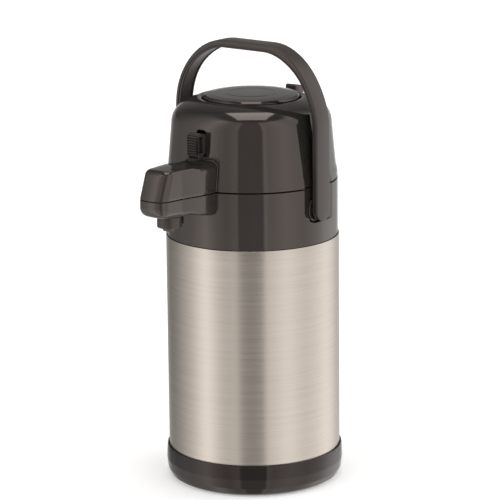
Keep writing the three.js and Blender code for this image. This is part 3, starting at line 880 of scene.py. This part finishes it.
# ---- Latch and lock
def add_latch():
    ribs = []
    pitch, count, base = 2.3, 8, 309.9
    crest, valley = -84.9, -83.3
    for i in range(count):
        z = base + i * pitch
        ribs += [(crest, z + 0.3, 0.2), (crest, z + 0.7, 0.2), (valley, z + 1.65, 0.15)]
    side = fillet(
        [(-82.5, 306.8, 0.6), (-83.3, 308.9, 0.5), (-84.3, 309.4, 0.4)]
        + ribs
        + [
            (-84.4, 328.3, 0.8), (-82.6, 329.7, 1.2), (-80, 329.8, 1.5), (-75, 328, 2),
            (-64, 326.6, 2), (-62.5, 322, 3), (-64.5, 314, 4), (-65.3, 300, 4),
            (-65.3, 284, 0.4), (-62, 284, 0.4), (-62, 282.6, 0.4), (-64, 281, 0.4),
            (-68.4, 281, 0.4), (-68.4, 309.8, 1.5), (-75, 309.8, 1), (-75.4, 306.8, 0.8),
        ],
        steps=3,
    )
    lever = along_x(slab(side, -5.25, 5.25, 0.3))
    hole = moved(along_x(rod(2.1, -10, 10, 32)), y=LATCH_Y, z=LATCH_Z)
    recess = along_x(slab(rect(-82.6, -76.4, 311.6, 326.4), 1.6, 6, 0.3))
    cutters = [hole, recess, mirrored(recess)]
    piece("thumb_latch", "latch", lever, SATIN, ["latch_lever"], 30, cutters)
    nose = fillet(
        [
            (-66, 275.5), (-56, 275.5), (-56, 288, 1), (-60, 288, 0.5), (-63.6, 287, 0.5),
            (-63.6, 284.6, 0.3), (-61, 284.6, 0.4), (-61, 279, 1.5), (-66, 277, 0.5),
        ]
    )
    catch = along_x(slab(nose, -4.5, 4.5, 0.4))
    piece("latch_keeper", "pot", catch, GLOSS, ["latch_catch"])


def add_lock():
    lug = fillet(
        [
            (57.8, 347, 0.4), (60, 346.1), (66, 343.4), (70.3, 341.2, 0.5), (70.9, 348.9, 1.4),
            (69.5, 350.2, 1.4), (60, 352, 1.2), (58, 351.4, 0.8),
        ]
    )
    head = along_x(slab(lug, -5.8, 5.8, 0.8))
    tongue = slab(rect(-4, 4, 47.6, 61.5), 335.5, 338.5, 0.3)
    neck = slab(rect(-3, 3, 57, 62), 336, 347.5, 0.3)
    piece("button_lock", "lock", together(head, tongue, neck), SATIN, ["lock_slider"])


# ---- Spout
TIP_Y = -145
ROOT_Y = -74
NOSE_HALF = 14.8
ROOT_HALF = 18.4
SPOUT_GAP = 0.35


def seam_height(y):
    """Height of the spout's parting line, which climbs from the root to the tip."""
    return SEAM_Z + 2.3 * np.clip((-77 - y) / 66, 0, 1)


def spout_plan():
    """The spout seen from above, from its left root round the nose to its right root."""
    half = [np.array([ROOT_HALF, ROOT_Y]), np.array([ROOT_HALF, -84])]
    half += curve((ROOT_HALF, -86), (18, -96), (16.8, -106), (15.2, -118), 10)
    nose_side, nose_corner = (NOSE_HALF - 0.2, TIP_Y + 9), (NOSE_HALF - 1, TIP_Y + 2.2)
    half += curve(nose_side, nose_corner, (9.5, TIP_Y + 0.3), (0, TIP_Y), 20)
    longest = 1.6
    dense = []
    for a, b in zip(half, half[1:]):
        parts = max(1, math.ceil(np.linalg.norm(b - a) / longest))
        dense += [a + (b - a) * k / parts for k in range(parts)]
    dense.append(half[-1])
    left = [np.array([-x, y]) for x, y in dense]
    return left[:-1] + dense[::-1]


def lean(y, z):
    """How far the nose leans back at a height."""
    return 8 * np.clip((-118 - y) / 20, 0, 1) * np.clip((z - 280) / 22, 0, 1.15)


def spout_roof(x, y):
    """Height of the cover's top, crowned across, with the thumb scoop in front of the latch."""
    scoop_depth = 4.4
    crown = 305.3 - 1.4 * (abs(x) / 17) ** 2
    reach = ((y - SCOOP_Y) / SCOOP_LONG) ** 2 + (x / SCOOP_WIDE) ** 2
    return crown - scoop_depth * max(0, 1 - reach)


def spout_floor(x, y):
    """Height of the spout's underside, which curves up into the nose."""
    chin_long, chin_high = 15, 16
    level = float(np.interp(y, [-105, -79, -70], [262.8, 257.6, 257]))
    rise = np.clip((TIP_Y + chin_long - y) / chin_long, 0, 1)
    return level + chin_high * (1 - math.sqrt(1 - rise**2))


def roof_corner(y):
    """Radius of the cover's upper edge."""
    return float(np.interp(y, [TIP_Y, -138, -110], [5, 3.6, 2.8]))


def floor_corner(y):
    """Radius of the underside's edge."""
    return float(np.interp(y, [TIP_Y, -128, -95, -82, -75], [9, 6.5, 2.6, 2.6, 4.5]))


def body_wall(z):
    """Radius that the spout and its flange end at: just outside the collar and the lid."""
    return np.interp(z, [278, 284, 290, 306], [77.4, 77.1, 75.7, 74.2])


def to_wall(solid):
    """Ends the solid on the body's round wall."""
    verts, faces = solid
    wall = -np.sqrt(body_wall(verts[:, 2]) ** 2 - verts[:, 0] ** 2)
    verts[:, 1] = np.minimum(verts[:, 1], wall)
    return verts, faces


def towards_middle(point, amount):
    """A plan point of the spout moved in towards the middle line."""
    gap = np.array([0, max(point[1], TIP_Y + NOSE_HALF)]) - point
    return point + gap * min(amount / max(np.linalg.norm(gap), 1e-6), 1)


def spout_half_shell(face, corner, sign):
    """One moulding of the spout: a rounded edge at the seam, an upright wall, a rounded
    corner and then the top or the underside, drawn in to the middle line."""
    plan = spout_plan()
    edge = 0.4
    start = [seam_height(y) + sign * SPOUT_GAP for _, y in plan]
    size = [corner(y) for _, y in plan]
    inner = [towards_middle(p, r) for p, r in zip(plan, size)]
    end = [face(*q) for q in inner]
    sections = []
    for a in np.linspace(0, math.pi / 2, 4):
        rise = sign * edge * (1 - math.cos(a))
        shrink = edge * (1 - math.sin(a))
        sections.append([(*towards_middle(p, shrink), z + rise) for p, z in zip(plan, start)])
    for t in (0.15, 0.35, 0.55, 0.75, 0.9):
        section = []
        for p, z, r, top in zip(plan, start, size, end):
            foot, head = z + sign * edge, top - sign * r
            section.append((*p, foot + (head - foot) * t))
        sections.append(section)
    for a in np.linspace(0, math.pi / 2, 9):
        section = []
        for p, r, top in zip(plan, size, end):
            q = towards_middle(p, r * (1 - math.cos(a)))
            section.append((*q, top - sign * r * (1 - math.sin(a))))
        sections.append(section)
    for t in np.linspace(0, 1, 16)[1:]:
        section = []
        for q in inner:
            place = q + (towards_middle(q, 1e6) - q) * t
            section.append((*place, face(*place)))
        sections.append(section)
    count = len(plan)
    verts = np.array([v for s in sections for v in s], float)
    rings = [list(range(i * count, (i + 1) * count)) for i in range(len(sections))]
    return verts, grid_faces(rings, False, False)


def add_spout():
    cover = spout_half_shell(spout_roof, roof_corner, 1)
    cover[0][:, 1] += [lean(y, z) for _, y, z in cover[0]]
    piece("spout_top_cover", "pot", to_wall(cover), COVER, ["spout_cover"], 60)
    under = spout_half_shell(spout_floor, floor_corner, -1)
    piece("spout_bottom_shell", "pot", to_wall(under), GLOSS, ["spout_lower"], 60)
    piece("spout_root_flange", "pot", flange(), GLOSS, (), 50)
    piece("spout_back_wall", "pot", back_wall(), COVER)
    collar = hoop(6.2, 10.8, 252.6, 262.4, (0.5, 1, 0, 0), 96)
    piece("nozzle_ring", "pot", moved(collar, y=NOZZLE_Y), SATIN, ["nozzle_collar"])
    guard = slab(rect(-5.5, 5.5, -105.6, -104), 253.6, 263.4)
    piece("spout_drip_guard", "pot", guard, GLOSS)
    add_pipe()


def arch_line():
    """Outer edge of the arch where the spout's cover meets the body, as (x, z)."""
    half, foot, shoulder = 19.4, SEAM_Z + 1.2, 305.4
    corners = [(-half, foot), (-half, shoulder, 8), (0, shoulder + 1, 30), (half, shoulder, 8)]
    return fillet(corners + [(half, foot)], closed=False, steps=10)


def back_wall():
    """The wall that closes the cover behind the thumb scoop, just outside the body."""
    x_arch, z_arch = np.array(arch_line()).T
    sections = []
    for x in np.linspace(-18.6, 18.6, 31):
        heights = np.linspace(SEAM_Z + 1.4, np.interp(x, x_arch, z_arch) - 0.6, 12)
        wall = -np.sqrt(body_wall(heights) ** 2 - x * x)
        front = [(x, y - 1, z) for y, z in zip(wall, heights)]
        back = [(x, y - 0.1, z) for y, z in zip(wall, heights)]
        sections.append(front + back[::-1])
    return loft(sections)


def flange():
    """The thin raised arch where the spout's cover meets the body."""
    sections = []
    for x, z in arch_line():
        inward = unit(np.array([0, 284]) - np.array([x, z]))
        wall = -math.sqrt(body_wall(z) ** 2 - x * x)
        face = wall - 1.3
        ring = [(face, 0, 0.5), (face, 1.2, 0.3), (wall, 1.2, 0.2), (wall, 0, 0.2)]
        ring = fillet(ring, steps=3)
        sections.append([(x + inward[0] * d, y, z + inward[1] * d) for y, d in ring])
    return loft(sections)


def add_pipe():
    bend = 9
    level = [(0, y, PIPE_Z) for y in np.linspace(-4.5, NOZZLE_Y + bend, 12)]
    turn = [
        (0, NOZZLE_Y + bend * (1 - math.sin(a)), PIPE_Z - bend * (1 - math.cos(a)))
        for a in np.linspace(0, math.pi / 2, 9)[1:]
    ]
    drop = [(0, NOZZLE_Y, PIPE_Z - bend - d) for d in (1, 2)]
    pipe = tube(level + turn + drop, 3.6, 24)
    outlet = moved(hoop(4.4, 5.8, 249.6, 260, (0.4, 0.4, 0.4, 0), 64), y=NOZZLE_Y)
    bore = moved(rod(4.6, 257.6, 259.4, 48), y=NOZZLE_Y)
    piece("spout_inner_pipe", "pot", together(pipe, outlet, bore), LINING, ["spout_pipe"])
    seal = moved(along_y(hoop(3.9, 4.7, -47.4, -43.2, (0, 0.3, 0.3, 0), 48)), z=PIPE_Z)
    piece("pipe_way_seal", "pot", seal, SEAL, ["pipe_grommet"])
    head = [(0, 274.2), (8.5, 274.2, 1.2), (8.5, 258, 0.6), (4.4, 258, 0.3), (4.4, 265), (0, 265)]
    head = lathe(fillet(head, closed=False), 64, closed=False)
    piece("stem_cap", "pot", head, LINING, ["stem_head"])
    stem = hoop(3, 4, 28, 264.6, (0.3, 0.3, 0.3, 0.3), 48)
    piece("suction_tube", "pot", stem, LINING, ["dip_tube"])
    lip = fillet([(33.4, 238.3, 0.8), (43.2, 238.3, 0.4), (43.2, 242, 1), (33.4, 240.6, 0.8)])
    piece("neck_seal", "pot", lathe(lip, 96), SEAL, ["neck_gasket"])


# ---- Handle
def handle_path():
    """Places along the outside of the bail's right half, as (x, z, half width)."""
    places = []
    for a in np.linspace(math.radians(88), 0, 16):
        places.append((ARM_OUT, PIVOT_Z - HANDLE_HALF * math.sin(a), HANDLE_HALF * math.cos(a)))
    for z in np.linspace(PIVOT_Z, ARCH_Z, 12)[1:]:
        places.append((ARM_OUT, z, HANDLE_HALF))
    arch = curve(
        (ARM_OUT, ARCH_Z), (ARM_OUT, 366.5), (53.7, HANDLE_TOP), (CREASE_X, HANDLE_TOP), 48
    )
    places += [(x, z, HANDLE_HALF) for x, z in arch[1:]]
    places += [(x, HANDLE_TOP, HANDLE_HALF) for x in np.linspace(CREASE_X, 0, 8)[1:]]
    return places


def handle_section(half, wall):
    """Section of the bail: (across, depth from its outer face), with a stepped inner flange."""
    k = half / HANDLE_HALF
    side = [
        (9.5, 0.15, 1.3), (9.5, wall - 2.6, 0.25), (8.6, wall - 2.3, 0.2),
        (8.6, wall - 1.6, 0.2), (9.3, wall - 1.3, 0.25), (9.3, wall, 0.6), (7.2, wall, 0.4),
        (6.6, wall - 0.7, 0.3),
    ]
    other = [(-y, d, r) for y, d, r in side[::-1]]
    outline = fillet([other[-1], (0, 0, 20)] + side + other[:-1], steps=4)
    return [(y * k, d) for y, d in outline]


def add_handle():
    places = handle_path()
    right = places[:-1]
    middle = [places[-1]]
    left = [(-x, z, half) for x, z, half in right[::-1]]
    route = right + middle + left
    points = np.array([(x, z) for x, z, _ in route])
    tangents = np.gradient(points, axis=0)
    sections = []
    for (x, z, half), tangent in zip(route, tangents):
        tangent = unit(tangent)
        inward = np.array([-tangent[1], tangent[0]])
        wall = 5.6 + 1.3 * smoothstep((z - 372) / 26)
        forward = 1.9 * smoothstep((z - 325) / 45)
        section = handle_section(half, wall)
        ring = [(x + inward[0] * d, y - forward, z + inward[1] * d) for y, d in section]
        sections.append(ring)
    bail = loft(sections)
    socket = moved(along_x(rod(3.3, 70, 78, 40)), z=PIVOT_Z)
    cutters = [socket, mirrored(socket)]
    piece("carry_bail", "handle", bail, SATIN, ["carry_handle"], 32, cutters)
    pin = along_x(rod(3, 66.6, 77.7, 40, 0.4, 0.6))
    clip = along_x(hoop(3.3, 6.4, 67.2, 68.4, (0.2, 0.3, 0.3, 0.2), 48))
    washer = along_x(hoop(3.4, 8, 73.1, 74.1, (0.2, 0.3, 0.3, 0.2), 64))
    for side, turn in (("right", lambda s: s), ("left", mirrored)):
        for name, body, solid, finish in (
            ("pivot_pin", "handle", pin, STEEL), ("pivot_clip", "handle", clip, STEEL),
            ("pivot_washer", "pot", washer, LINING),
        ):
            node = f"{name}_{side}"
            placed = moved(turn(solid), z=PIVOT_Z)
            piece(f"{node}_turned", body, placed, finish, [node])


# ---- Nodes that stay as they are
def finish_hidden_nodes():
    for node, finish in (("flask_cushion", RUBBER), ("neck_ring", LINING)):
        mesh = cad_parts[node].data
        mesh.materials.clear()
        mesh.materials.append(finish.material)


# ---- Room
CAMERA_AZIMUTH = 38
CAMERA_PITCH = 13.66
CAMERA_ROLL = 0.57
CAMERA_DISTANCE = 2.5
CAMERA_LENS = 199.5
AIM = Vector((0.0005, -0.0047, 0.2097))


def add_camera():
    azimuth, pitch = math.radians(CAMERA_AZIMUTH), math.radians(CAMERA_PITCH)
    right = Vector((math.cos(azimuth), math.sin(azimuth), 0))
    level = Vector((-math.sin(azimuth), math.cos(azimuth), 0))
    forward = level * math.cos(pitch) - Vector((0, 0, math.sin(pitch)))
    up = right.cross(forward)
    data = bpy.data.cameras.new("camera")
    data.lens = CAMERA_LENS
    camera = bpy.data.objects.new("camera", data)
    bpy.context.scene.collection.objects.link(camera)
    turn = Matrix((right, up, -forward)).transposed()
    turn = turn @ Matrix.Rotation(math.radians(-CAMERA_ROLL), 3, "Z")
    camera.matrix_world = Matrix.Translation(AIM - forward * CAMERA_DISTANCE) @ turn.to_4x4()
    bpy.context.scene.camera = camera


# Brightness round the studio, by degrees to the right of the camera. Dark flags stand beside
# the camera, and white sweeps and softboxes stand round the rest.
STUDIO = [
    (-180, 0.85), (-166, 0.55), (-145, 0.24), (-120, 0.42), (-90, 0.95), (-66, 1.8),
    (-48, 1.1), (-36, 0.82), (-20, 1.12), (-18.5, 0.4), (14.5, 0.4), (16, 1.5), (23, 1.12),
    (45, 1.55), (73, 1.15), (96, 1.4), (112, 1.68), (126, 1.4), (150, 0.7), (180, 0.85),
]
# The ramp's colours stop at 1, so it holds brightness over this.
RAMP_TOP = 2
# Heights of a direction, from -1 straight down to 1 straight up, that the light changes at.
SWEEP_TOP = (0.84, 0.93)
TABLE_TOP = (-0.36, -0.26)
# Brightness straight up, of the box over the object, and of the table below the horizon.
OVERHEAD, BOX, TABLE = 0.12, 3, 0.25


def add_studio_light():
    """Light from all round: the ring in STUDIO, dimmer above and behind, a dim ceiling, a long
    softbox over the object and a table under it."""
    world = bpy.data.worlds.new("studio")
    bpy.context.scene.world = world
    world.use_nodes = True
    tree = world.node_tree
    node, link = tree.nodes.new, tree.links.new
    background = tree.nodes["Background"]
    place = node("ShaderNodeTexCoord").outputs["Generated"]
    turn = node("ShaderNodeMapping")
    turn.inputs["Rotation"].default_value = (0, 0, math.radians(-CAMERA_AZIMUTH))
    link(place, turn.inputs["Vector"])
    split = node("ShaderNodeSeparateXYZ")
    link(turn.outputs["Vector"], split.inputs["Vector"])

    def maths(operation, a, b=None):
        made = node("ShaderNodeMath")
        made.operation = operation
        for socket, value in zip(made.inputs, (a, b)):
            if isinstance(value, (int, float)):
                socket.default_value = value
            elif value is not None:
                link(value, socket)
        return made.outputs[0]

    def between(value, low, high, start, end):
        made = node("ShaderNodeMapRange")
        made.interpolation_type = "SMOOTHSTEP"
        names = ("From Min", "From Max", "To Min", "To Max")
        for name, number in zip(names, (low, high, start, end)):
            made.inputs[name].default_value = number
        link(value, made.inputs["Value"])
        return made.outputs["Result"]

    x, y, z = split.outputs
    round_angle = maths("ARCTAN2", x, maths("MULTIPLY", y, -1))
    fraction = maths("ADD", maths("DIVIDE", round_angle, 2 * math.pi), 0.5)
    ramp = node("ShaderNodeValToRGB")
    elements = ramp.color_ramp.elements
    while len(elements) < len(STUDIO):
        elements.new(0.5)
    for element, (degrees, value) in zip(elements, STUDIO):
        grey = value / RAMP_TOP
        element.position = (degrees + 180) / 360
        element.color = (grey, grey, grey, 1)
    link(fraction, ramp.inputs["Fac"])
    ring = maths("MULTIPLY", ramp.outputs["Color"], RAMP_TOP)
    behind = between(maths("ABSOLUTE", round_angle), 1.9, 2.6, 0, 1)
    above = between(z, 0, 0.12, 0, 0.62)
    shade = maths("SUBTRACT", 1, maths("MULTIPLY", behind, above))
    sweep = maths("MULTIPLY", maths("MULTIPLY", ring, shade), between(z, *SWEEP_TOP, 1, 0))
    overhead = between(z, *SWEEP_TOP, 0, OVERHEAD)
    table = between(z, *TABLE_TOP, TABLE, 0)
    box = between(maths("ABSOLUTE", x), 0.22, 0.235, 1, 0)
    box = maths("MULTIPLY", box, between(y, -0.21, -0.17, 0, 1))
    box = maths("MULTIPLY", box, between(y, 0.42, 0.46, 1, 0))
    box = maths("MULTIPLY", box, between(z, 0.5, 0.6, 0, BOX))
    total = maths("ADD", maths("ADD", sweep, overhead), maths("ADD", box, table))
    link(total, background.inputs["Strength"])
    background.inputs["Color"].default_value = (1, 0.985, 0.97, 1)


def add_floor():
    data = bpy.data.meshes.new("floor")
    half = 20
    corners = [(-half, -half, 0), (half, -half, 0), (half, half, 0), (-half, half, 0)]
    data.from_pydata(corners, [], [(0, 1, 2, 3)])
    floor = bpy.data.objects.new("floor", data)
    bpy.context.scene.collection.objects.link(floor)
    s = Shader("paper_sweep")
    s.set(Base_Color=(0.9, 0.9, 0.9, 1), Roughness=0.9)
    s.set(Emission_Color=(1, 1, 1, 1), Emission_Strength=0.35)
    data.materials.append(s.material)
    floor.visible_glossy = False


bpy.context.scene.view_settings.view_transform = "Standard"
add_camera()
add_studio_light()
add_floor()
add_base()
add_sleeve()
add_flask()
add_collar()
add_lid()
add_lid_inside()
add_pump()
add_button()
add_latch()
add_lock()
add_spout()
add_handle()
finish_hidden_nodes()
